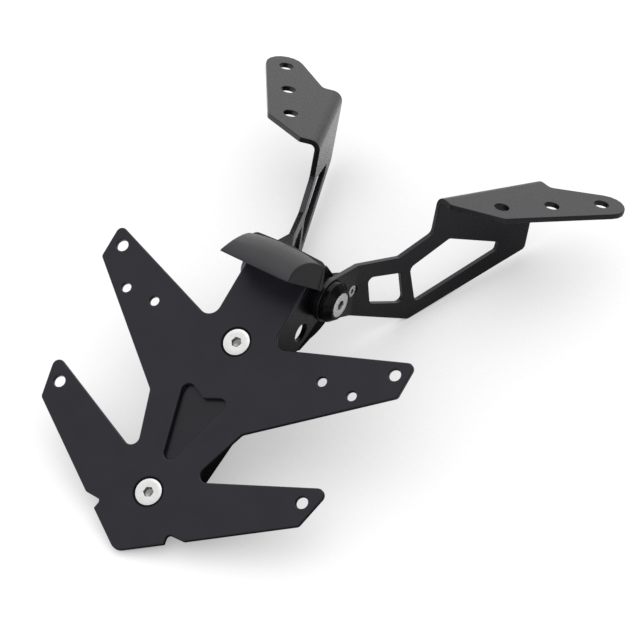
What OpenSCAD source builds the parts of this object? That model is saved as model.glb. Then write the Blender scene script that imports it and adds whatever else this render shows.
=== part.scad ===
// Motorbike tail tidy: two folded sheet arms bolt up under the seat unit, and
// a plate hanger with its lamp tilts between them on two M6 pivot screws.
// X is across the bike, +Y is forward, +Z is up. The origin is midway between
// the middle bolt holes of the two arms, on the top faces of their flanges.

/* [Plate angle] */
// Angle of the number plate bracket from level
plate_angle = 46; // [44:1:60]

/* [Sheet] */
// Thickness of the folded arms
arm_t = 2.5; // [2:0.5:3]
// Thickness of the number plate bracket
plate_t = 2.5; // [2:0.5:3]
// Thickness of the hanger channel and of the bracket inside it
chan_t = 2.5; // [2:0.5:2.5]

/* [Arms] */
// Outer face of each arm's end tab, from the centre plane
tab_x = 18.5; // [18:0.25:20]
// Splay of the arm's web from straight ahead
splay = 22.3; // [18:0.1:28]
// Distance from the pivot to the fold between tab and web
fold_y = 20.2; // [19.5:0.1:22]
// Depth of the pivot below the top of the flanges
pivot_drop = 37.5; // [36:0.1:40]
// Outside radius of the fold between web and flange
fold_r = 5; // [4.5:0.5:6]
// Diameter of the bolt holes in the flanges
bolt_d = 6.5; // [6.4:0.1:7.4]
// Distance between neighbouring bolt holes
bolt_pitch = 24.4; // [23:0.1:26]

/* [Hanger] */
// Overall width of the channel
chan_w = 27.5; // [27:0.25:28]
// Half width of the bracket's neck
neck_hw = 15.2; // [14.5:0.1:16]
// Distance between the two plate screws
screw_span = 74; // [72:0.5:76]
// Diameter of the four plate holes at the tips
tip_hole_d = 5.3; // [5:0.1:6]
// Diameter of the four plate holes in the upper row
row_hole_d = 4.3; // [4:0.1:5]

/* [Pivot] */
// Diameter of the pivot screws
pivot_d = 6; // [5:1:6]
// Outside diameter of the cup washers and spacers
cup_d = 18.5; // [18:0.5:20]

/* [Lamp] */
// How far the lamp stands out from the bracket
lamp_out = 22.8; // [20:0.2:25]
// Wall of the lamp cover
lamp_wall = 1.8; // [1.5:0.1:2]

/* [Hidden] */
$fn = 64;
// the pivot axis in the bracket's own plane: along the neck, behind the face
piv_y = 38.2;
piv_z = -21.2;
fit = 0.075;     // radial clearance of the pivot screws
gap = 0.05;      // end float between the arms and the hanger
// where things sit along the web of an arm: s along it, w out from it
hole_s = 60.1;
hole_w = 15.9;
hole_a = 13.75;  // angle of the row of holes to the web
function web_y(s, w) = fold_y + s * cos(splay) - w * sin(splay);
function web_x(s, w) = tab_x + s * sin(splay) + w * cos(splay);
mid_s = hole_s + bolt_pitch * cos(hole_a);
mid_w = hole_w + bolt_pitch * sin(hole_a);
pivot_y = -web_y(mid_s, mid_w);
pivot_z = -pivot_drop;
cx = chan_w / 2;             // outer face of the channel's sides
bx = cx - chan_t;            // outer face of the inner bracket's sides
tab_in = tab_x - arm_t;      // inner face of the tabs
cup_t = 5.5;
head_x = tab_x + cup_t;      // face of the pivot screw heads
seat_d = 12.8;               // mouth of the plate screws' countersinks
sunk = 0.3;                  // and how far their heads lie below the face
lock_r = 18.9;               // lock screws' distance from the pivot
lock_a = -7.9;               // and their direction below the arm's line
black = [0.10, 0.10, 0.11];
steel = [0.80, 0.81, 0.82];

// ---------- outlines with rounded corners ----------
function unit(v) = v / norm(v);
function corner(p0, p1, p2, r, n) =
    let (a = unit(p0 - p1), b = unit(p2 - p1), g = acos(a * b),
         d = r / tan(g / 2), c = p1 + unit(a + b) * (r / sin(g / 2)),
         s = p1 + a * d, e = p1 + b * d,
         a0 = atan2(s[1] - c[1], s[0] - c[0]),
         a1 = atan2(e[1] - c[1], e[0] - c[0]),
         da = ((a1 - a0 + 540) % 360) - 180)
    r <= 0 ? [p1]
           : [for (i = [0:n]) c + r * [cos(a0 + da * i / n), sin(a0 + da * i / n)]];
// v is a list of [x, y, corner radius]
function rounded(v, n = 8) =
    [for (i = [0:len(v) - 1])
        let (p = v[(i + len(v) - 1) % len(v)], q = v[i], r = v[(i + 1) % len(v)])
        each corner([p[0], p[1]], [q[0], q[1]], [r[0], r[1]], q[2], n)];
function mirrored(v) = [for (i = [len(v) - 1:-1:0]) [-v[i][0], v[i][1], v[i][2]]];

// ---------- placing ----------
// the hanger's own plane: X across, Y up the neck, Z out of the front face
module hanger() {
    translate([0, pivot_y, pivot_z]) rotate([plate_angle, 0, 0])
        translate([0, -piv_y, -piv_z]) children();
}
module both() {
    children();
    mirror([1, 0, 0]) children();
}
// a shape drawn in Y and Z, standing between x0 and x1
module side_slab(x0, x1) {
    translate([x0, 0, 0]) rotate([90, 0, 90]) linear_extrude(x1 - x0) children();
}
module rod(x0, x1, r) {
    translate([x0, 0, 0]) rotate([0, 90, 0]) cylinder(h = x1 - x0, r = r);
}

// ---------- number plate bracket ----------
half_plate = [
    [neck_hw, 46.5, 4], [neck_hw, 3.6, 5], [76.9, 25, 2.7], [76.9, 8.4, 2],
    [23.9, -34.6, 3], [14, -62.5, 3.5], [71.6, -38.2, 3], [67, -58.4, 2.2],
    [25.6, -85.8, 1.5], [17.4, -86.1, 1.6], [18.3, -90.6, 0.6]];

module number_plate_bracket() color(black) hanger() {
    difference() {
        translate([0, 0, -plate_t]) linear_extrude(plate_t)
            polygon(rounded(concat(half_plate, [[0, -102.6, 5]], mirrored(half_plate))));
        translate([0, 0, -plate_t - 1]) linear_extrude(plate_t + 2)
            polygon(rounded([[12.7, -22.3, 3], [0, -66.8, 3.3], [-12.7, -22.3, 3],
                             [0, -27.9, 2]]));
        both() {
            translate([70.8, 16.6, -plate_t - 1]) cylinder(h = plate_t + 2, d = tip_hole_d);
            translate([63.2, -48.9, -plate_t - 1]) cylinder(h = plate_t + 2, d = tip_hole_d);
            translate([58.6, 0.6, -plate_t - 1]) cylinder(h = plate_t + 2, d = row_hole_d);
            translate([43.6, 0.6, -plate_t - 1]) cylinder(h = plate_t + 2, d = row_hole_d);
            translate([9, 43, -plate_t - 1]) cylinder(h = plate_t + 2, d = 3.2);
        }
        translate([0, 39.5, -plate_t - 1]) cylinder(h = plate_t + 2, d = 8);
        for (y = [0, -screw_span]) translate([0, y, 0]) head_space(seat_d, 6.3, 3.4);
    }
}
// the space that a countersunk head and its screw take, its face at z = 0
module head_space(d1, d2, k) {
    translate([0, 0, -k]) cylinder(h = k, d1 = d2, d2 = d1);
    translate([0, 0, -30]) cylinder(h = 30, d = d2);
    cylinder(h = 1, d = d1);
}

// ---------- hanger channel ----------
// the side of the channel, in Y and Z
ear_r = 10.9;                // round end of the channel's sides
module chan_side(x0, x1) {
    side_slab(x0, x1) polygon(rounded([
        [-86, -plate_t - 4, 0], [-86, -11.9, 4], [24.5, -30.3, 0], [piv_y, piv_z - ear_r, 0],
        [piv_y, piv_z, 0], [piv_y + ear_r, piv_z, 0], [piv_y + ear_r, -11, 3],
        [46.5, -plate_t - 4, 1]]));
    translate([0, piv_y, piv_z]) rod(x0, x1, ear_r);
}
module hanger_channel() color(black) hanger() {
    difference() {
        union() {
            // front wall behind the bracket
            translate([-cx + 4, -86, -plate_t - chan_t]) cube([chan_w - 8, 118, chan_t]);
            both() {
                chan_side(bx, cx);
                // the fold, outside radius 4
                intersection() {
                    translate([cx - 4, 32, -plate_t - 4]) rotate([90, 0, 0])
                        difference() {
                            cylinder(h = 118, r = 4);
                            translate([0, 0, -1]) cylinder(h = 120, r = 4 - chan_t);
                        }
                    translate([cx - 4, -86, -plate_t - 4]) cube([4, 118, 4]);
                }
            }
        }
        for (y = [0, -screw_span]) translate([0, y, 0]) head_space(seat_d, 6.3, 3.4);
        // pivot bores and the round holes below them
        translate([0, piv_y, piv_z]) rod(-20, 20, pivot_d / 2 + fit);
        translate([0, 20, -22.5]) rod(-20, 20, 4.3);
    }
}

// ---------- bracket inside the channel, with the slots for the lock screws ----------
function arc(r, a0, a1, n) =
    [for (i = [0:n]) let (a = a0 + (a1 - a0) * i / n)
        [piv_y + r * cos(a), piv_z - r * sin(a)]];
function slot_end(r, a, hw, w) =
    [for (i = [1:11]) let (t = 15 * i)
        [piv_y + (r + hw * cos(w > 0 ? t : 180 - t)) * cos(a) - w * hw * sin(t) * sin(a),
         piv_z - (r + hw * cos(w > 0 ? t : 180 - t)) * sin(a) - w * hw * sin(t) * cos(a)]];
module arc_slot(r, a0, a1, hw) {
    polygon(concat(arc(r + hw, a0, a1, 24), slot_end(r, a1, hw, 1),
                   arc(r - hw, a1, a0, 24), slot_end(r, a0, hw, -1)));
}
bz = -plate_t - chan_t;      // front face of this bracket
module hinge_bracket() color(black) hanger() {
    difference() {
        union() {
            translate([-bx + 4, -10, bz - chan_t]) cube([2 * bx - 8, 30, chan_t]);
            both() {
                side_slab(bx - chan_t, bx) {
                    polygon(concat([[-10, bz - 4], [-10, bz - 6], [-6, bz - 9], [14.5, -33.8],
                        [15.6, -35.8]], arc(23.5, 130, 44, 20),
                        [[50.1, -27], [48.6, -21.5], [48.6, -14], [45.5, -10.5], [38.3, -9.7],
                         [24, bz - 4]]));
                }
                intersection() {
                    translate([bx - 4, 20, bz - 4]) rotate([90, 0, 0])
                        difference() {
                            cylinder(h = 30, r = 4);
                            translate([0, 0, -1]) cylinder(h = 32, r = 4 - chan_t);
                        }
                    translate([bx - 4, -10, bz - 4]) cube([4, 30, 4]);
                }
            }
        }
        translate([0, 0, -12]) cylinder(h = 10, d = 6.2);
        translate([0, piv_y, piv_z]) rod(-20, 20, pivot_d / 2 + fit);
        translate([0, 20.5, -26.5]) rod(-20, 20, 6.3);
        side_slab(-20, 20) arc_slot(lock_r, 50, 101, 2);
    }
}

// ---------- screws and nuts ----------
// countersunk screw along -Z with its face at z = 0
module csk_screw(d, head, k, len, key, deep) {
    difference() {
        union() {
            translate([0, 0, -k]) cylinder(h = k, d1 = d, d2 = head);
            translate([0, 0, -len + 0.6]) cylinder(h = len - 0.6 - k + 0.01, d = d);
            translate([0, 0, -len]) cylinder(h = 0.6, d1 = d - 1, d2 = d);
        }
        translate([0, 0, -deep]) cylinder(h = deep + 1, d = key / cos(30), $fn = 6);
    }
}
// hexagon nut standing on z = 0, with its lock ring at the far end
module lock_nut(af, h, d) {
    difference() {
        union() {
            cylinder(h = h * 0.75, d = af / cos(30), $fn = 6);
            cylinder(h = h, d = af * 0.9);
        }
        translate([0, 0, -1]) cylinder(h = h + 2, d = d);
    }
}
module plate_screws() color(steel) hanger()
    for (y = [0, -screw_span]) translate([0, y, -sunk]) csk_screw(6, 12.2, 3.1, 16, 4, 2.2);
module plate_screw_nuts() color(steel) hanger() {
    translate([0, 0, bz - chan_t]) rotate([180, 0, 0]) lock_nut(10, 5, 6);
    translate([0, -screw_span, bz]) rotate([180, 0, 0]) lock_nut(10, 5, 6);
}

// ---------- pivots: head outside the arm, nut inside the hanger ----------
module at_pivot() translate([0, pivot_y, pivot_z]) children();
module at_lock() at_pivot()
    translate([0, lock_r * cos(lock_a), lock_r * sin(lock_a)]) children();
module pivot_screws() color(steel) at_pivot() both()
    translate([head_x, 0, 0]) rotate([0, 90, 0]) csk_screw(pivot_d, 12, 3, 20, 4, 2.2);
module cup_washers() color(black) at_pivot() both() difference() {
    union() {
        rod(tab_x, tab_x + 2.3, cup_d / 2);
        translate([tab_x + 2.3, 0, 0]) rotate([0, 90, 0])
            cylinder(h = cup_t - 2.3, r1 = cup_d / 2, r2 = 6.8);
    }
    translate([head_x, 0, 0]) rotate([0, 90, 0]) head_space(12, pivot_d + 2 * fit, 3);
}
module pivot_spacers() color(black) at_pivot() both() difference() {
    rod(cx, tab_in - gap, cup_d / 2);
    rod(cx - 1, tab_in + 1, pivot_d / 2 + fit);
}
module pivot_nuts() color(steel) at_pivot() both()
    translate([bx - chan_t - gap, 0, 0]) rotate([0, -90, 0]) lock_nut(10, 5, pivot_d);
module lock_screws() color(steel) at_lock() both()
    translate([tab_x, 0, 0]) rotate([0, 90, 0]) csk_screw(3, 6, 1.5, 12, 2, 1.1);
module lock_spacers() color(black) at_lock() both() difference() {
    rod(bx + gap, tab_in, 3.25);
    rod(bx - 1, tab_x, 1.6);
}
module lock_nuts() color(steel) at_lock() both()
    translate([bx - chan_t - gap, 0, 0]) rotate([0, -90, 0]) lock_nut(5.5, 2.4, 3);

// ---------- arms ----------
web_top = -fold_r;
tab_hi = -27.9;             // top and bottom edges at the fold by the tab
tab_lo = -53;
web_line = [
    [-1.5, tab_hi, 0], [22.2, tab_hi, 2], [38.6, -18.6, 3], [38.6, web_top, 0],
    [93.9, web_top, 0], [93.9, -35, 2.5], [33.8, -61, 3], [-1.5, tab_lo + 0.355, 0]];
flange_line = [
    [38.6, fold_r - arm_t, 0], [38.6, 7.4, 1.5], [54.9, 25.4, 4], [153, 47.5, 9],
    [94.1, 7.4, 3], [93.9, fold_r - arm_t, 0]];
small_window = [[6.4, -35.1, 2.5], [24.4, -35.8, 2.5], [29.6, -52.1, 2.5], [10.4, -48.9, 2.5]];
big_window = [[29.2, -34.2, 3], [48.4, -22.5, 2], [77.7, -29.2, 1.6], [77.3, -33.5, 1.6],
              [36, -52.7, 2.2]];

// s along the web, w out from its outer face, z as in the part
module on_web() {
    translate([tab_x, pivot_y + fold_y, 0]) rotate([0, 0, 90 - splay]) mirror([0, 1, 0]) children();
}
// plan of the tab and web, one strip folded at fold_y
function web_pt(s, w) = [web_x(s, w), pivot_y + web_y(s, w)];
fold_s = arm_t * tan(splay / 2);   // how far the fold's inner corner lies past its outer one
module strip() {
    translate([0, 0, -70]) linear_extrude(70 - 1)
        polygon([[tab_x, pivot_y - 20], web_pt(0, 0), web_pt(100, 0), web_pt(100, -arm_t),
                 web_pt(-fold_s, -arm_t), [tab_in, pivot_y - 20]]);
}
module arm() difference() {
    union() {
        intersection() {
            strip();
            union() {
                // outline of the tab, seen from the side
                translate([0, pivot_y, 0]) side_slab(0, 40)
                    polygon([[0, tab_hi + 0.4], [fold_y + 1.5, tab_hi - 0.03],
                        [fold_y + 1.5, tab_lo - 0.4], [-3.6, pivot_z - 9.3],
                        [-3.6, pivot_z], [0, pivot_z]]);
                // outline of the web, seen square on
                on_web() translate([0, 10, 0]) rotate([90, 0, 0]) linear_extrude(20)
                    polygon(rounded(web_line));
            }
        }
        at_pivot() rod(tab_in, tab_x, 10);
        // fold between web and flange
        on_web() translate([38.6, fold_r - arm_t, -fold_r]) rotate([0, 90, 0])
            rotate([0, 0, 180]) rotate_extrude(angle = 90)
                translate([fold_r - arm_t, 0]) square([arm_t, 93.9 - 38.6]);
        // flange
        on_web() translate([0, 0, -arm_t]) linear_extrude(arm_t) polygon(rounded(flange_line));
    }
    at_pivot() rod(tab_in - 1, tab_x + 1, pivot_d / 2 + fit);
    at_lock() translate([tab_x, 0, 0]) rotate([0, 90, 0]) head_space(6, 3.2, 1.5);
    on_web() {
        translate([0, 1, 0]) rotate([90, 0, 0]) linear_extrude(arm_t + 2) polygon(rounded(small_window));
        translate([0, 1, 0]) rotate([90, 0, 0]) linear_extrude(arm_t + 2) polygon(rounded(big_window));
        for (i = [0:2])
            translate([hole_s + i * bolt_pitch * cos(hole_a), hole_w + i * bolt_pitch * sin(hole_a), -arm_t - 1])
                cylinder(h = arm_t + 2, d = bolt_d);
    }
}
module right_arm() color(black) arm();
module left_arm() color(black) mirror([1, 0, 0]) arm();

// ---------- lamp, in the hanger's plane ----------
base_t = 1.5;                // rim plate that the hood stands on
crown_r = 84;                // the hood's top is arched to this radius
crown_c = 47.4 - crown_r;
hood_r = 30.4;               // the hood's section, from front to back
hood_y = 17.25;
hood_z = -3.53;
// bottom plane of the hood, from the bracket to the lip
lip = [27.8, lamp_out];
toe = [35.5, 0];
lip_dir = unit(lip - toe);
lip_n = [-lip_dir[1], lip_dir[0]] * (-lip_dir[1] > 0 ? 1 : -1);
// a rounded shoulder joins the section's arc to its flat front
shoulder_r = 15;
shoulder_z = lamp_out - shoulder_r;
shoulder_y = hood_y + sqrt((hood_r - shoulder_r) ^ 2 - (shoulder_z - hood_z) ^ 2);
shoulder_a = atan2(shoulder_z - hood_z, shoulder_y - hood_y);
module hood_section(e) {
    at = [shoulder_y, shoulder_z];
    far = 50 * [cos(shoulder_a), sin(shoulder_a)];
    difference() {
        intersection() {
            translate([hood_y, hood_z]) circle(r = hood_r - e, $fn = 180);
            translate([2.6, base_t]) square([60, lamp_out - e - base_t]);
        }
        polygon([at, at + [0, 50], at + far]);
    }
    intersection() {
        translate(at) circle(r = shoulder_r - e, $fn = 180);
        polygon([at, at + [0, 50], at + far]);
    }
}
// everything of the hood's section pulled in by e, as a solid of revolution
module hood_top(e) {
    translate([0, crown_c, 0]) rotate([0, 0, 50]) rotate_extrude(angle = 80, $fn = 180)
        translate([-crown_c, 0]) hood_section(e);
}
// the space above the bottom plane moved in by e
module above_toe(e) {
    o = toe + lip_n * e;
    side_slab(-40, 40) polygon([o - lip_dir * 20, o + lip_dir * 60,
        o + lip_dir * 60 + lip_n * 60, o - lip_dir * 20 + lip_n * 60]);
}
// the two slanted end faces, moved in by e
end_n = unit([0.908, 0.301, 0.290]);
end_k = 31;
module between_ends(e) {
    intersection_for (m = [0, 1]) mirror([m, 0, 0])
        translate(end_n * (end_k - e))
            rotate([0, 0, atan2(end_n[1], end_n[0])])
                rotate([0, -asin(end_n[2]), 0])
                    translate([-120, -60, -60]) cube([120, 120, 120]);
}
module hood(e, low) intersection() {
    hood_top(e);
    above_toe(low);
    between_ends(e);
}
module lamp_cover() color(black) hanger() difference() {
    union() {
        difference() {
            hood(0, 0);
            difference() {
                hood(lamp_wall, -1);
                translate([-40, 0, -1]) cube([80, 80, base_t + 3]);
            }
        }
        intersection() {
            hood(0.5, 4);
            both() translate([9, 43, base_t]) cylinder(h = 7, r = 2.7);
        }
    }
    both() translate([9, 43, -1]) cylinder(h = 8.5, d = 2.6);
    translate([0, 39.5, -1]) cylinder(h = 6, d = 8);
}
module lamp_base() color(black) hanger() difference() {
    linear_extrude(base_t) polygon(rounded([[23, 35.1, 1], [18.1, 47, 3.5], [0, 47.8, 0],
        [-18.1, 47, 3.5], [-23, 35.1, 1]]));
    both() translate([9, 43, -1]) cylinder(h = 4, d = 2.6);
    translate([0, 39.5, -1]) cylinder(h = 4, d = 8);
}
module lamp_slab(e, low, high) difference() {
    intersection() {
        hood(e, low);
        translate([-40, 0, base_t + 2]) cube([80, 80, 40]);
    }
    above_toe(high);
}
module lamp_lens() color([0.85, 0.9, 0.95, 0.5]) hanger() lamp_slab(lamp_wall, 0.8, 2.3);
module lamp_circuit_board() color([0.85, 0.86, 0.84]) hanger() lamp_slab(lamp_wall, 4.2, 5.4);
module lamp_leds() color([0.95, 0.9, 0.5]) hanger()
    for (x = [-9, 0, 9]) {
        c = toe + lip_dir * 12.5 + lip_n * 4.2;
        translate([x, c[0], c[1]]) rotate([atan2(lip_dir[1], lip_dir[0]), 0, 0])
            translate([-1.75, -1.4, 0]) cube([3.5, 2.8, 1.2]);
    }
module lamp_screws() color(steel) hanger() both() translate([9, 43, 0]) difference() {
    union() {
        translate([0, 0, -plate_t - 1.8]) cylinder(h = 1.8, d = 5.5);
        translate([0, 0, -plate_t - 0.01]) cylinder(h = 9, d = 2.6);
    }
    translate([0, 0, -plate_t - 2.8]) cylinder(h = 2.2, d = 2 / cos(30), $fn = 6);
}
module cable_grommet() color([0.06, 0.06, 0.06]) hanger() translate([0, 39.5, 0]) difference() {
    union() {
        translate([0, 0, -plate_t]) cylinder(h = plate_t + base_t + 2, d = 8);
        translate([0, 0, -plate_t - 1.2]) cylinder(h = 1.2, d = 10.5);
    }
    translate([0, 0, -plate_t - 2]) cylinder(h = 10, d = 4.2);
}

number_plate_bracket();
hanger_channel();
hinge_bracket();
plate_screws();
plate_screw_nuts();
left_arm();
right_arm();
pivot_screws();
cup_washers();
pivot_spacers();
pivot_nuts();
lock_screws();
lock_spacers();
lock_nuts();
lamp_cover();
lamp_base();
lamp_lens();
lamp_circuit_board();
lamp_leds();
lamp_screws();
cable_grommet();
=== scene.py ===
"""Looks of the motorbike tail tidy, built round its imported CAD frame."""
import math

import bmesh
import bpy
from mathutils import Matrix, Vector


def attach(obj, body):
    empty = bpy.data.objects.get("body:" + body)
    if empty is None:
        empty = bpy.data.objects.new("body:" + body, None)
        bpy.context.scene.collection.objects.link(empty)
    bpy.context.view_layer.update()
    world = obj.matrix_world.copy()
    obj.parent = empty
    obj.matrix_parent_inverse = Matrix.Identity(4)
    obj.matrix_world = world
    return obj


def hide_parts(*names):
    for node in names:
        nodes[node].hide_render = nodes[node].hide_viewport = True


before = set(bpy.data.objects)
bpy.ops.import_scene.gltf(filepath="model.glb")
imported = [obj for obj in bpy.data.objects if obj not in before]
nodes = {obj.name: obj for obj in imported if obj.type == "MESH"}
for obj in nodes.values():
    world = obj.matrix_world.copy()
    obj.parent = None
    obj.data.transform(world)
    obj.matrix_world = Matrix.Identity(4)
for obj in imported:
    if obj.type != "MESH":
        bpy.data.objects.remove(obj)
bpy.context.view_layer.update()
MM = 0.001

# ---------------------------------------------------------------- places, as in the CAD source (mm)
PIV_Y, PIV_Z = 38.2, -21.2
PIVOT = Vector((0, -89.4992, -37.5))
HANGER = (
    Matrix.Scale(MM, 4)
    @ Matrix.Translation(PIVOT)
    @ Matrix.Rotation(math.radians(46), 4, "X")
    @ Matrix.Translation((0, -PIV_Y, -PIV_Z))
)
PART = Matrix.Scale(MM, 4)
TAB_X, CUP_T, BX, CHAN_T, GAP, SUNK = 18.5, 5.5, 11.25, 2.5, 0.05, 0.3
LOCK_A = math.radians(-7.9)
LOCK = PIVOT + Vector((0, 18.9 * math.cos(LOCK_A), 18.9 * math.sin(LOCK_A)))


# ---------------------------------------------------------------- materials
class Mat:
    """A node material with a Principled shader and a few short cuts."""

    def __init__(self, name, **consts):
        self.m = bpy.data.materials.new(name)
        self.m.use_nodes = True
        self.t = self.m.node_tree
        self.p = next(n for n in self.t.nodes if n.type == "BSDF_PRINCIPLED")
        self.coord = self.t.nodes.new("ShaderNodeTexCoord")
        for k, v in consts.items():
            self.p.inputs[k.replace("_", " ")].default_value = v

    def node(self, kind, **props):
        n = self.t.nodes.new(kind)
        for k, v in props.items():
            setattr(n, k, v)
        return n

    def link(self, a, b):
        self.t.links.new(a, b)

    def noise(self, scale, detail=3.0, rough=0.55, stretch=None, vector=None):
        n = self.node("ShaderNodeTexNoise")
        n.inputs["Scale"].default_value = scale
        n.inputs["Detail"].default_value = detail
        n.inputs["Roughness"].default_value = rough
        src = vector or self.coord.outputs["Object"]
        if stretch:
            mp = self.node("ShaderNodeMapping")
            mp.inputs["Scale"].default_value = stretch
            self.link(src, mp.inputs["Vector"])
            src = mp.outputs["Vector"]
        self.link(src, n.inputs["Vector"])
        return n.outputs["Fac"]

    def cells(self, scale, feature="F1"):
        n = self.node("ShaderNodeTexVoronoi", feature=feature)
        n.inputs["Scale"].default_value = scale
        self.link(self.coord.outputs["Object"], n.inputs["Vector"])
        return n.outputs["Distance"]

    def ramp(self, fac, stops):
        r = self.node("ShaderNodeValToRGB")
        el = r.color_ramp.elements
        while len(el) < len(stops):
            el.new(0.5)
        for e, (pos, col) in zip(el, stops):
            e.position = pos
            e.color = (*col, 1) if len(col) == 3 else col
        self.link(fac, r.inputs["Fac"])
        return r.outputs["Color"]

    def spread(self, fac, lo, hi, a=0.3, b=0.7):
        r = self.node("ShaderNodeMapRange")
        r.inputs["From Min"].default_value = a
        r.inputs["From Max"].default_value = b
        r.inputs["To Min"].default_value = lo
        r.inputs["To Max"].default_value = hi
        self.link(fac, r.inputs["Value"])
        return r.outputs["Result"]

    def bump(self, height, dist, strength=1.0, below=None):
        b = self.node("ShaderNodeBump")
        b.inputs["Distance"].default_value = dist
        b.inputs["Strength"].default_value = strength
        self.link(height, b.inputs["Height"])
        if below is not None:
            self.link(below, b.inputs["Normal"])
        return b.outputs["Normal"]

    def rounded(self, radius, samples=6):
        b = self.node("ShaderNodeBevel", samples=samples)
        b.inputs["Radius"].default_value = radius
        return b.outputs["Normal"]

    def to(self, socket, value):
        self.link(value, self.p.inputs[socket])


def powder_coat(name, base, rough, grain=0.000004, ior=1.42, tint=None):
    """Satin black powder coat: fine orange peel, faint mottling."""
    m = Mat(name, Metallic=0.0, IOR=ior)
    n1 = m.noise(90, 4)
    n2 = m.noise(2600, 2)
    n3 = m.noise(900, 3)
    lo = tuple(c * 0.86 for c in base)
    hi = tuple(c * 1.16 for c in base)
    m.to("Base Color", m.ramp(n1, [(0.3, lo), (0.7, hi)]))
    m.to("Roughness", m.spread(n3, rough - 0.035, rough + 0.035))
    nb = m.bump(n2, grain, 0.55)
    m.to("Normal", m.bump(n3, grain * 2.5, 0.5, nb))
    if tint:
        m.p.inputs["Specular Tint"].default_value = (*tint, 1)
    return m.m


def painted_seat_shade(mat, centres, axis, inner, outer):
    """Painted shade round the heads of the plate screws: within inner of each screw's axis the coat's reflection is
    cut to almost nothing, rising again by outer, so each seat reads as a dark gap.
    """
    t = mat.node_tree
    p = next(n for n in t.nodes if n.type == "BSDF_PRINCIPLED")
    co = t.nodes.new("ShaderNodeTexCoord")
    dist = None
    for c in centres:
        rel = t.nodes.new("ShaderNodeVectorMath")
        rel.operation = "SUBTRACT"
        rel.inputs[1].default_value = tuple(c)
        t.links.new(co.outputs["Object"], rel.inputs[0])
        cr = t.nodes.new("ShaderNodeVectorMath")
        cr.operation = "CROSS_PRODUCT"
        cr.inputs[1].default_value = tuple(axis)
        t.links.new(rel.outputs["Vector"], cr.inputs[0])
        ln = t.nodes.new("ShaderNodeVectorMath")
        ln.operation = "LENGTH"
        t.links.new(cr.outputs["Vector"], ln.inputs[0])
        if dist is None:
            dist = ln.outputs["Value"]
        else:
            lo = t.nodes.new("ShaderNodeMath")
            lo.operation = "MINIMUM"
            t.links.new(dist, lo.inputs[0])
            t.links.new(ln.outputs["Value"], lo.inputs[1])
            dist = lo.outputs[0]
    r = t.nodes.new("ShaderNodeMapRange")
    r.inputs["From Min"].default_value = inner
    r.inputs["From Max"].default_value = outer
    r.inputs["To Min"].default_value = 0.02
    r.inputs["To Max"].default_value = 0.5
    t.links.new(dist, r.inputs["Value"])
    t.links.new(r.outputs["Result"], p.inputs["Specular IOR Level"])


def stainless(name, rough=0.24, colour=(0.93, 0.93, 0.92), rings=True):
    """Turned stainless steel: bright, with a fine cloudy finish."""
    m = Mat(name, Metallic=1.0)
    n1 = m.noise(700, 4)
    n2 = m.noise(4000, 2)
    m.to("Base Color", m.ramp(n1, [(0.25, tuple(c * 0.86 for c in colour)), (0.6, colour)]))
    m.to("Roughness", m.spread(n1, rough + 0.08, rough - 0.04))
    m.to("Normal", m.bump(n2, 0.000006, 0.5))
    return m.m


coat = powder_coat("coat_bracket", (0.0036, 0.0034, 0.0052), 0.31, grain=0.000003, tint=(1.0, 0.98, 1.08))
# painted shade: a dark ring round each plate screw head, out to 6.95 mm from its axis
painted_seat_shade(coat, [HANGER @ Vector((0, y, 0)) for y in (0, -74)],
           (HANGER.to_3x3() @ Vector((0, 0, 1))).normalized(), 6.80 * MM, 6.95 * MM)
coat_arm = powder_coat("coat_arms", (0.0028, 0.0027, 0.0038), 0.27, grain=0.0000007, ior=1.41, tint=(1.0, 0.985, 1.03))
coat_inner = powder_coat("coat_channel", (0.0024, 0.0024, 0.0030), 0.30, grain=0.0000012, ior=1.43,
                         tint=(1.0, 0.98, 1.08))
# painted shade: the hinge bracket's coat is darker and all but unreflecting, so its cheek beside the channel's side
# reads as a shaded band
coat_hinge_painted_shade = powder_coat("coat_hinge_painted_shade", (0.0008, 0.0008, 0.0009), 0.40, grain=0.0000015, ior=1.08)
steel = stainless("stainless_screws", 0.27, (0.90, 0.90, 0.89))
# painted shade: darker, rougher steel on the faces inside the hex sockets, standing for the shade in the recess
socket_shade_steel = stainless("socket_painted_shade", 0.40, (0.40, 0.40, 0.39))
steel_nut = stainless("stainless_nuts", 0.3, (0.70, 0.70, 0.69))


def lamp_plastic():
    m = Mat("lamp_plastic", IOR=1.44)
    n1 = m.noise(60, 3)
    n2 = m.noise(3800, 3, 0.6)
    m.to("Base Color", m.ramp(n1, [(0.3, (0.0050, 0.0050, 0.0062)), (0.7, (0.0080, 0.0080, 0.0095))]))
    m.to("Roughness", m.spread(n2, 0.36, 0.46))
    m.to("Normal", m.bump(n2, 0.00001, 0.6))
    return m.m


def anodised():
    m = Mat("black_anodised", Metallic=0.0, IOR=1.24)
    n1 = m.noise(500, 3)
    # turned grooves round the pivot axis
    sep = m.node("ShaderNodeSeparateXYZ")
    m.link(m.coord.outputs["Object"], sep.inputs[0])
    w = m.node("ShaderNodeTexWave", wave_type="BANDS", bands_direction="X", wave_profile="SIN")
    w.inputs["Scale"].default_value = 900
    w.inputs["Distortion"].default_value = 0.3
    m.link(m.coord.outputs["Object"], w.inputs["Vector"])
    m.to("Base Color", m.ramp(n1, [(0.3, (0.0014, 0.0014, 0.0016)), (0.7, (0.0026, 0.0026, 0.0030))]))
    m.to("Roughness", m.spread(n1, 0.20, 0.29))
    m.to("Normal", m.bump(w.outputs["Fac"], 0.000005, 0.5))
    return m.m


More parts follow.
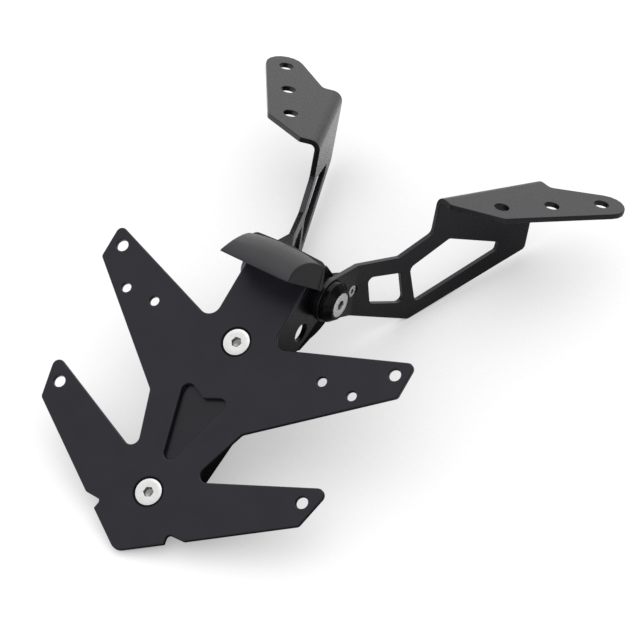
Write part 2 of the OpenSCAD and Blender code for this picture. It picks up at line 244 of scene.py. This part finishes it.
def shaded_lens():
    m = Mat("lens_painted_shade", IOR=1.49, Roughness=0.04)
    m.p.inputs["Transmission Weight"].default_value = 1.0
    n1 = m.noise(200, 2)
    w = m.node("ShaderNodeTexWave", wave_type="BANDS", bands_direction="X", wave_profile="SIN")
    w.inputs["Scale"].default_value = 160
    m.link(m.coord.outputs["Object"], w.inputs["Vector"])
    # painted shade: the clear lens is given a mid-grey colour, darkening the board seen through it as if in the lamp's
    # shade
    m.to("Base Color", m.ramp(n1, [(0.3, (0.50, 0.52, 0.53)), (0.7, (0.56, 0.57, 0.58))]))
    m.to("Normal", m.bump(w.outputs["Fac"], 0.00022, 0.8))
    return m.m


def board():
    m = Mat("board_mask_painted_shade", IOR=1.5)
    n1 = m.noise(300, 3)
    c = m.cells(700)
    # painted shade: the white board is coloured mid-grey, as if in the shade under the lamp
    m.to("Base Color", m.ramp(n1, [(0.3, (0.42, 0.43, 0.42)), (0.7, (0.50, 0.51, 0.50))]))
    m.to("Roughness", m.spread(n1, 0.3, 0.42))
    m.to("Normal", m.bump(c, 0.00002, 0.5))
    return m.m


def phosphor():
    m = Mat("led_phosphor", IOR=1.45)
    n1 = m.noise(1500, 2)
    m.to("Base Color", m.ramp(n1, [(0.3, (0.83, 0.60, 0.10)), (0.7, (0.93, 0.76, 0.22))]))
    m.to("Roughness", m.spread(n1, 0.22, 0.34))
    return m.m


def rubber():
    m = Mat("grommet_rubber", IOR=1.5)
    n1 = m.noise(1800, 3)
    m.to("Base Color", m.ramp(n1, [(0.3, (0.012, 0.012, 0.012)), (0.7, (0.022, 0.022, 0.022))]))
    m.to("Roughness", m.spread(n1, 0.6, 0.78))
    m.to("Normal", m.bump(n1, 0.00003, 0.6))
    return m.m


def nylon():
    m = Mat("nylon_ring", IOR=1.53)
    n1 = m.noise(900, 3)
    m.to("Base Color", m.ramp(n1, [(0.3, (0.62, 0.63, 0.60)), (0.7, (0.72, 0.73, 0.70))]))
    m.to("Roughness", m.spread(n1, 0.42, 0.55))
    m.to("Normal", m.bump(n1, 0.00002, 0.5))
    return m.m


lamp_mat, cup_mat, lens_mat = lamp_plastic(), anodised(), shaded_lens()
board_shade_mat, led_mat, rubber_mat, nylon_mat = board(), phosphor(), rubber(), nylon()
NODE_MATS = {
    "number_plate_bracket": coat,
    "hanger_channel": coat_inner,
    "hinge_bracket": coat_hinge_painted_shade,
    "left_arm": coat_arm,
    "right_arm": coat_arm,
    "cup_washers": cup_mat,
    "pivot_spacers": cup_mat,
    "lock_spacers": cup_mat,
    "lamp_cover": lamp_mat,
    "lamp_base": lamp_mat,
    "lamp_lens": lens_mat,
    "lamp_circuit_board": board_shade_mat,
    "lamp_leds": led_mat,
    "cable_grommet": rubber_mat,
}
for name, o in nodes.items():
    mat = NODE_MATS.get(name, steel)
    if not o.material_slots:
        o.data.materials.append(mat)
    for s in o.material_slots:
        s.material = mat


# ---------------------------------------------------------------- edges of the CAD nodes
def soften(o, width, segments=2, angle=30.0, dissolve=0.4, merge=0.000004):
    """Welds, rounds the sharp edges and keeps flats flat, by modifiers only."""
    w = o.modifiers.new("weld", "WELD")
    w.merge_threshold = merge
    if dissolve:
        d = o.modifiers.new("flats", "DECIMATE")
        d.decimate_type = "DISSOLVE"
        d.angle_limit = math.radians(dissolve)
    b = o.modifiers.new("edges", "BEVEL")
    b.width = width
    b.segments = segments
    b.limit_method = "ANGLE"
    b.angle_limit = math.radians(angle)
    b.use_clamp_overlap = False
    b.loop_slide = False
    b.miter_outer = "MITER_ARC"
    n = o.modifiers.new("shade", "WEIGHTED_NORMAL")
    n.weight = 90
    n.keep_sharp = False


SOFT = {
    "number_plate_bracket": 0.60,
    "hanger_channel": 0.3,
    "left_arm": 0.32,
    "right_arm": 0.32,
    "cup_washers": 0.25,
    "pivot_spacers": 0.25,
    "lamp_base": 0.2,
    "cable_grommet": 0.25,
}
for name, width in SOFT.items():
    if name.endswith("_arm"):
        soften(nodes[name], width * MM, 3, angle=60.0, merge=0.0004)
    elif name == "number_plate_bracket":
        soften(nodes[name], width * MM, 3, merge=0.0001)
    elif name == "hanger_channel":
        soften(nodes[name], width * MM, 3, angle=60.0, merge=0.0001)
    else:
        soften(nodes[name], width * MM, 3)


# ---------------------------------------------------------------- turned and threaded pieces
def polar(rings, seg, closed_start=True, closed_end=True):
    """A closed mesh from rings of (radius function of angle, z function of angle)."""
    verts, faces = [], []
    for rf, zf in rings:
        for i in range(seg):
            a = 2 * math.pi * i / seg
            r, z = rf(a), zf(a)
            verts.append((r * math.cos(a), r * math.sin(a), z))
    for k in range(len(rings) - 1):
        for i in range(seg):
            j = (i + 1) % seg
            faces.append((k * seg + i, k * seg + j, (k + 1) * seg + j, (k + 1) * seg + i))
    if closed_start:
        faces.append(tuple(reversed(range(seg))))
    if closed_end:
        n = (len(rings) - 1) * seg
        faces.append(tuple(n + i for i in range(seg)))
    return verts, faces


def const(v):
    return lambda a: v


def hexr(af, grow=0.0):
    def f(a):
        d = math.degrees(a) % 60 - 30
        return af / 2 / math.cos(math.radians(d)) + grow

    return f


def countersunk(d, head, k, length, key, deep, pitch, seg, plain):
    """Hexagon socket countersunk screw along -z, its face at z = 0, rolled thread below the plain part."""
    r, R = d / 2, head / 2
    c = key / 2
    rings = [
        (const(0.02), const(-deep - 0.42 * c)),
        (const(c * 0.98), const(-deep)),
        (hexr(key), const(-deep + 0.02)),
        (hexr(key), const(-deep * 0.5)),
        (hexr(key), const(-0.12 * k / 3 - 0.06)),
        (lambda a: max(hexr(key)(a), c * 1.14) if False else hexr(key, 0.10)(a), const(-0.02)),
        (const(c * 1.30), const(0)),
        (const(R * 0.62), const(0)),
        (const(R * 0.62 + 0.02), const(0)),
        (const(R - 0.048 * head), const(0)),
        (const(R - 0.036 * head), const(-0.004 * head)),
        (const(R - 0.030 * head), const(-0.012 * head)),
        (const(R - 0.028 * head), const(-0.024 * head)),
    ]
    slope = (R - r) / k
    rings += [
        (const(R - 0.032 * head), const(-0.040 * head)),
        (const(R - slope * 0.055 * head), const(-0.055 * head)),
        (const(r + slope * (k * 0.45) - 0.02), const(-k * 0.55)),
        (const(r + slope * 0.3 - 0.02), const(-k + 0.3)),
        (const(r - 0.02), const(-k - 0.1)),
        (const(r - 0.02), const(-k - plain)),
    ]
    start = -k - plain - 0.15
    depth = 0.61 * pitch
    steps = max(2, int((start + length) / (pitch / 8)))
    for i in range(steps + 1):
        z = start + (-length - start) * i / steps
        fade = min(1.0, (start - z) / (pitch * 0.9))
        tip = max(0.0, (-length + 0.9 * depth) - z) if z < -length + 0.9 * depth else 0.0

        def rf(a, z=z, fade=fade, tip=tip):
            t = (z / pitch + a / (2 * math.pi)) % 1.0
            h = max(0.0, min(1.0, (abs(t - 0.5) * 2 - 0.14) / 0.70))
            return max(r - 0.01 - depth * fade * (1 - h) - tip * 0.9, r - depth - tip * 0.9)

        rings.append((rf, const(z)))
    rings.append((const(r - depth - 0.35 * pitch), const(-length)))
    return polar(rings, seg, True, True)


def nut(af, h, d, seg=96):
    """Lock nut on z = 0: chamfered hexagon, rolled collar over the nylon ring."""
    r = d / 2
    hx = hexr(af)
    flat = af / 2

    def body(z):
        cut = min(z, 0.75 * h - z) if z < 0.75 * h / 2 else 0.75 * h - z
        lim = flat * 0.985 + max(0.0, cut) * 1.75
        return lambda a: min(hx(a), lim)

    rows = [0, 0.06, 0.14, 0.24, 0.36, 0.5]
    hb = 0.75 * h
    zs = [v * hb / 3.75 for v in rows] + [hb * 0.5]
    zs += [hb - v * hb / 3.75 for v in reversed(rows)]
    rings = [(const(r + 0.02), const(0.35)), (const(r + 0.3), const(0.0))]
    rings += [(body(z), const(z)) for z in zs]
    cr = af * 0.45
    rings += [
        (const(cr + 0.12), const(hb)),
        (const(cr), const(hb + 0.10)),
        (const(cr), const(h - 0.45)),
        (const(cr - 0.12), const(h - 0.18)),
        (const(cr - 0.42), const(h - 0.02)),
        (const(cr - 0.75), const(h - 0.0)),
        (const(cr - 0.85), const(h - 0.08)),
        (const(cr - 0.85), const(hb - 0.1)),
        (const(r + 0.02), const(hb - 0.15)),
        (const(r + 0.02), const(0.35)),
    ]
    return polar(rings, seg, False, False)


def nut_ring(af, h, d, seg=64):
    r, cr, hb = d / 2 - 0.05, af * 0.45 - 0.87, 0.75 * h
    rings = [
        (const(r), const(hb - 0.08)),
        (const(cr), const(hb - 0.08)),
        (const(cr), const(h - 0.16)),
        (const(cr - 0.15), const(h - 0.10)),
        (const(r + 0.25), const(h - 0.14)),
        (const(r), const(h - 0.32)),
        (const(r), const(hb - 0.08)),
    ]
    return polar(rings, seg, False, False)


def piece(name, parts, mat, body, smooth=None, stands_for=(), second=None):
    """Joins (verts, faces, matrix) parts into one object on a CAD body."""
    bm = bmesh.new()
    for verts, faces, mx in parts:
        vs = [bm.verts.new(mx @ Vector(v)) for v in verts]
        for f in faces:
            try:
                face = bm.faces.new([vs[i] for i in f])
            except ValueError:
                continue
            if second and second[1]([verts[i] for i in f]):
                face.material_index = 1
    bmesh.ops.remove_doubles(bm, verts=bm.verts, dist=0.000001)
    bmesh.ops.recalc_face_normals(bm, faces=bm.faces)
    me = bpy.data.meshes.new(name)
    bm.to_mesh(me)
    bm.free()
    me.materials.append(mat)
    if second:
        me.materials.append(second[0])
    o = bpy.data.objects.new(name, me)
    bpy.context.scene.collection.objects.link(o)
    if smooth is not None:
        me.shade_smooth()
        me.set_sharp_from_angle(angle=math.radians(smooth))
    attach(o, body)
    if stands_for:
        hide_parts(*stands_for)
    return o


def xf(base, loc, rot=None):
    m = base @ Matrix.Translation(loc)
    return m @ rot if rot is not None else m


RX180 = Matrix.Rotation(math.pi, 4, "X")
TO_PX = Matrix.Rotation(math.pi / 2, 4, "Y")      # local z to +x
MIRROR = Matrix.Scale(-1, 4, (1, 0, 0))


def sides(loc, rot):
    """The right-hand place and its mirror image as a turned copy, so threads stay right-handed."""
    yield xf(PART, loc, rot)
    yield xf(PART, Vector((-loc[0], loc[1], loc[2])), Matrix.Rotation(math.pi, 4, "Z") @ rot)


def in_socket(key):
    def f(vs):
        return all(math.hypot(v[0], v[1]) < key / 2 * 1.24 and v[2] < 0.001 and v[2] > -key for v in vs) and any(
            v[2] < -0.03 for v in vs)

    return f


m6 = countersunk(6, 12.6, 3.1, 16, 4, 2.2, 1.0, 96, 0.8)
m6l = countersunk(6, 12, 3, 20, 4, 2.2, 1.0, 96, 3.5)
m3 = countersunk(3, 6, 1.5, 12, 2, 1.1, 0.5, 48, 0.8)
SPIN = [Matrix.Rotation(math.radians(a), 4, "Z") for a in (6, 23, 12, 40, 3, 51)]
# the faces inside each hex socket get the painted-shade steel
piece("plate_screws_turned",
      [(*m6, xf(HANGER, (0, 0, -SUNK), SPIN[0])), (*m6, xf(HANGER, (0, -74, -SUNK), SPIN[1]))],
      steel, "hanger", 32, ("plate_screws",), (socket_shade_steel, in_socket(4)))
piece("pivot_screws_turned",
      [(*m6l, mx @ SPIN[2 + i]) for i, mx in enumerate(sides(PIVOT + Vector((TAB_X + CUP_T, 0, 0)), TO_PX))],
      steel, "arms", 32, ("pivot_screws",), (socket_shade_steel, in_socket(4)))
piece("lock_screws_turned",
      [(*m3, mx @ SPIN[4 + i]) for i, mx in enumerate(sides(LOCK + Vector((TAB_X, 0, 0)), TO_PX))],
      steel, "arms", 32, ("lock_screws",), (socket_shade_steel, in_socket(2)))
n6, n3 = nut(10, 5, 6), nut(5.5, 2.4, 3, 60)
r6, r3 = nut_ring(10, 5, 6), nut_ring(5.5, 2.4, 3, 48)
plate_nut_places = [xf(HANGER, (0, 0, -7.5), RX180), xf(HANGER, (0, -74, -5), RX180)]
in_x = BX - CHAN_T - GAP
TO_NX = Matrix.Rotation(-math.pi / 2, 4, "Y")
pivot_nut_places = list(sides(PIVOT + Vector((in_x, 0, 0)), TO_NX))
lock_nut_places = list(sides(LOCK + Vector((in_x, 0, 0)), TO_NX))
piece("plate_nuts_formed", [(*n6, p) for p in plate_nut_places], steel_nut, "hanger", 28,
      ("plate_screw_nuts",))
piece("pivot_nuts_formed", [(*n6, p) for p in pivot_nut_places], steel_nut, "arms", 28,
      ("pivot_nuts",))
piece("lock_nuts_formed", [(*n3, p) for p in lock_nut_places], steel_nut, "arms", 28,
      ("lock_nuts",))
piece("plate_nut_rings", [(*r6, p) for p in plate_nut_places], nylon_mat, "hanger", 35)
piece("pivot_nut_rings", [(*r6, p) for p in pivot_nut_places], nylon_mat, "arms", 35)
piece("lock_nut_rings", [(*r3, p) for p in lock_nut_places], nylon_mat, "arms", 35)


# ---------------------------------------------------------------- the lamp's moulded shell
def moulded(name, source, voxel, steps, mat, body):
    """A copy of a CAD node with every edge rounded as a moulded part has it."""
    o = bpy.data.objects.new(name, nodes[source].data.copy())
    bpy.context.scene.collection.objects.link(o)
    for kind, key in (("WELD", "weld"), ("REMESH", "skin"), ("SMOOTH", "round")):
        m = o.modifiers.new(key, kind)
        if kind == "WELD":
            m.merge_threshold = 0.000004
        elif kind == "REMESH":
            m.mode, m.voxel_size, m.use_smooth_shade = "VOXEL", voxel, True
        else:
            m.factor, m.iterations = 0.5, steps
    dg = bpy.context.evaluated_depsgraph_get()
    me = bpy.data.meshes.new_from_object(o.evaluated_get(dg))
    o.modifiers.clear()
    o.data = me
    me.materials.clear()
    me.materials.append(mat)
    me.shade_smooth()
    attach(o, body)
    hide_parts(source)
    return o


moulded("lamp_shell", "lamp_cover", 0.00036, 6, lamp_mat, "hanger")

SHADE = ((0.0, 0.25), (0.45, 0.60), (0.65, 0.73), (0.8, 0.86), (1.0, 1.0))

# ---------------------------------------------------------------- camera
cam = bpy.data.cameras.new("camera")
cam.lens = 187.07
cam.sensor_width = 36
cam.sensor_fit = "HORIZONTAL"
cam.clip_start, cam.clip_end = 0.05, 50
co = bpy.data.objects.new("camera", cam)
bpy.context.scene.collection.objects.link(co)
R, U, B = Vector((0.8248, 0.5406, 0.1658)), Vector((-0.3909, 0.3335, 0.8580)), Vector((0.4085, -0.7724, 0.4864))
rot = Matrix((R, U, B)).transposed().to_4x4()
co.matrix_world = Matrix.Translation((0.6017, -1.1982, 0.6494)) @ rot.to_quaternion().to_matrix().to_4x4()
bpy.context.scene.camera = co

# ---------------------------------------------------------------- floor: the photograph's table, seen from the mounted frame
# It is tilted in this frame. A sheet that only the camera sees carries the soft contact shadows and lets what hangs
# below the table show through. A pale one under it, which the camera doesn't see, is what the object mirrors; its
# colour carries painted shadow, darker towards +x and close under the plate.
N = Vector((0, -0.371, 0.928)).normalized()
SIDE, FORE = Vector((1, 0, 0)), N.cross(Vector((1, 0, 0)))


def sheet(name, drop, half, middle):
    at = N * -drop + FORE * middle
    me = bpy.data.meshes.new(name)
    me.from_pydata([at + SIDE * a * half + FORE * b * half for a, b in ((-1, -1), (1, -1), (1, 1), (-1, 1))], [],
                   [(0, 1, 2, 3)])
    o = bpy.data.objects.new(name, me)
    bpy.context.scene.collection.objects.link(o)
    return o


pale = sheet("floor", 0.0430, 3.0, 0.0)
fm = Mat("floor_pale_painted_shadow", Roughness=0.6)
fm.p.inputs["Specular IOR Level"].default_value = 0.2
sx = fm.node("ShaderNodeSeparateXYZ")
fm.link(fm.coord.outputs["Object"], sx.inputs[0])
# painted shadow on the mirrored floor: darker towards +x, where the arm's shade falls
painted_shadow_right = fm.spread(sx.outputs["X"], 0.66, 0.28, -0.10, 0.03)
far = fm.node("ShaderNodeVectorMath", operation="DISTANCE")
far.inputs[1].default_value = (0.03, -0.15, -0.106)
fm.link(fm.coord.outputs["Object"], far.inputs[0])
# painted contact shadow: darker within about 0.11 m of a point under the plate
close = fm.spread(far.outputs["Value"], 0.12, 1.0, 0.05, 0.11)
painted_floor_shadow = fm.node("ShaderNodeMath", operation="MULTIPLY")
fm.link(painted_shadow_right, painted_floor_shadow.inputs[0])
fm.link(close, painted_floor_shadow.inputs[1])
fm.to("Base Color", fm.ramp(painted_floor_shadow.outputs[0], [(0.0, (0.0, 0.0, 0.0)), (1.0, (1.0, 1.0, 1.0))]))
pale.data.materials.append(fm.m)
pale.visible_camera = False

soft = sheet("floor_shade", 0.0427, 0.42, -0.05)
sm = bpy.data.materials.new("floor_shade")
sm.use_nodes = True
st = sm.node_tree
for n in list(st.nodes):
    if n.type == "BSDF_PRINCIPLED":
        st.nodes.remove(n)
ao = st.nodes.new("ShaderNodeAmbientOcclusion")
ao.samples = 24
ao.inputs["Distance"].default_value = 0.16
lean = st.nodes.new("ShaderNodeCombineXYZ")
tilted = (N + Vector((-0.12, 0.0, 0.0))).normalized()
for i in range(3):
    lean.inputs[i].default_value = tilted[i]
st.links.new(lean.outputs[0], ao.inputs["Normal"])
sr = st.nodes.new("ShaderNodeValToRGB")
stops = SHADE
el = sr.color_ramp.elements
while len(el) < len(stops):
    el.new(0.5)
for e, (pos, v) in zip(el, stops):
    e.position, e.color = pos, (v, v, v, 1)
st.links.new(ao.outputs["AO"], sr.inputs["Fac"])
geo = st.nodes.new("ShaderNodeNewGeometry")
mixc = st.nodes.new("ShaderNodeMix")
mixc.data_type = "RGBA"
st.links.new(geo.outputs["Backfacing"], mixc.inputs[0])
st.links.new(sr.outputs["Color"], mixc.inputs[6])
mixc.inputs[7].default_value = (1, 1, 1, 1)
tr = st.nodes.new("ShaderNodeBsdfTransparent")
st.links.new(mixc.outputs[2], tr.inputs["Color"])
st.links.new(tr.outputs[0], next(n for n in st.nodes if n.type == "OUTPUT_MATERIAL").inputs["Surface"])
soft.data.materials.append(sm)
for kind in ("diffuse", "glossy", "transmission", "volume_scatter", "shadow"):
    setattr(soft, "visible_" + kind, False)

# ---------------------------------------------------------------- light
FRONT, BACK, BELOW = 0.74, 1.38, 1.12
world = bpy.data.worlds.new("world")
bpy.context.scene.world = world
world.use_nodes = True
wt = world.node_tree
bg = wt.nodes["Background"]
bg.inputs["Color"].default_value = (1, 1, 1, 1)
# a white sweep: brighter behind the object, dimmer in front and overhead, plain white below the table's edge
tc = wt.nodes.new("ShaderNodeTexCoord")


def world_dot(direction):
    d = wt.nodes.new("ShaderNodeVectorMath")
    d.operation = "DOT_PRODUCT"
    d.inputs[1].default_value = direction
    wt.links.new(tc.outputs["Generated"], d.inputs[0])
    return d.outputs["Value"]


def world_map(value, a, b, lo, hi):
    r = wt.nodes.new("ShaderNodeMapRange")
    r.interpolation_type = "SMOOTHSTEP"
    for k, v in (("From Min", a), ("From Max", b), ("To Min", lo), ("To Max", hi)):
        r.inputs[k].default_value = v
    wt.links.new(value, r.inputs["Value"])
    return r.outputs["Result"]


back = world_map(world_dot((-0.2, 0.98, 0.0)), -0.8, 0.8, FRONT, BACK)
low = world_map(world_dot(tuple(N)), -0.02, 0.10, 1.0, 0.0)
mixer = wt.nodes.new("ShaderNodeMix")
# the dim side of the room, up on the right
dim = world_map(world_dot(tuple(Vector((0.78, 0.36, 0.52)).normalized())), 0.70, 0.93, 1.0, 0.12)
room = wt.nodes.new("ShaderNodeMath")
room.operation = "MULTIPLY"
wt.links.new(back, room.inputs[0])
wt.links.new(dim, room.inputs[1])
# a large soft box overhead
top = world_map(world_dot(tuple(Vector((-0.05, -0.04, 1.0)).normalized())), 0.82, 0.95, 1.0, 1.75)
over = wt.nodes.new("ShaderNodeMath")
over.operation = "MULTIPLY"
wt.links.new(room.outputs[0], over.inputs[0])
wt.links.new(top, over.inputs[1])
wt.links.new(low, mixer.inputs[0])
wt.links.new(over.outputs[0], mixer.inputs[2])
mixer.inputs[3].default_value = BELOW
wt.links.new(mixer.outputs[0], bg.inputs["Strength"])


def area(name, place, at, size, power, colour=(1, 1, 1)):
    l = bpy.data.lights.new(name, "AREA")
    l.shape = "RECTANGLE"
    l.size, l.size_y = size
    l.energy = power
    l.color = colour
    o = bpy.data.objects.new(name, l)
    bpy.context.scene.collection.objects.link(o)
    o.location = place
    o.rotation_euler = (Vector(at) - Vector(place)).to_track_quat("-Z", "Y").to_euler()
    return o


key = area("soft_top", (-0.22, -0.16, 1.20), (0, -0.08, -0.03), (0.9, 0.9), 11)
key.visible_glossy = False
fill = area("soft_front", (0.1, -1.2, 0.25), (0, -0.12, -0.08), (1.4, 0.9), 16)
fill.visible_glossy = False

vs = bpy.context.scene.view_settings
vs.view_transform = "Standard"
vs.look = "None"
vs.exposure = 0.0
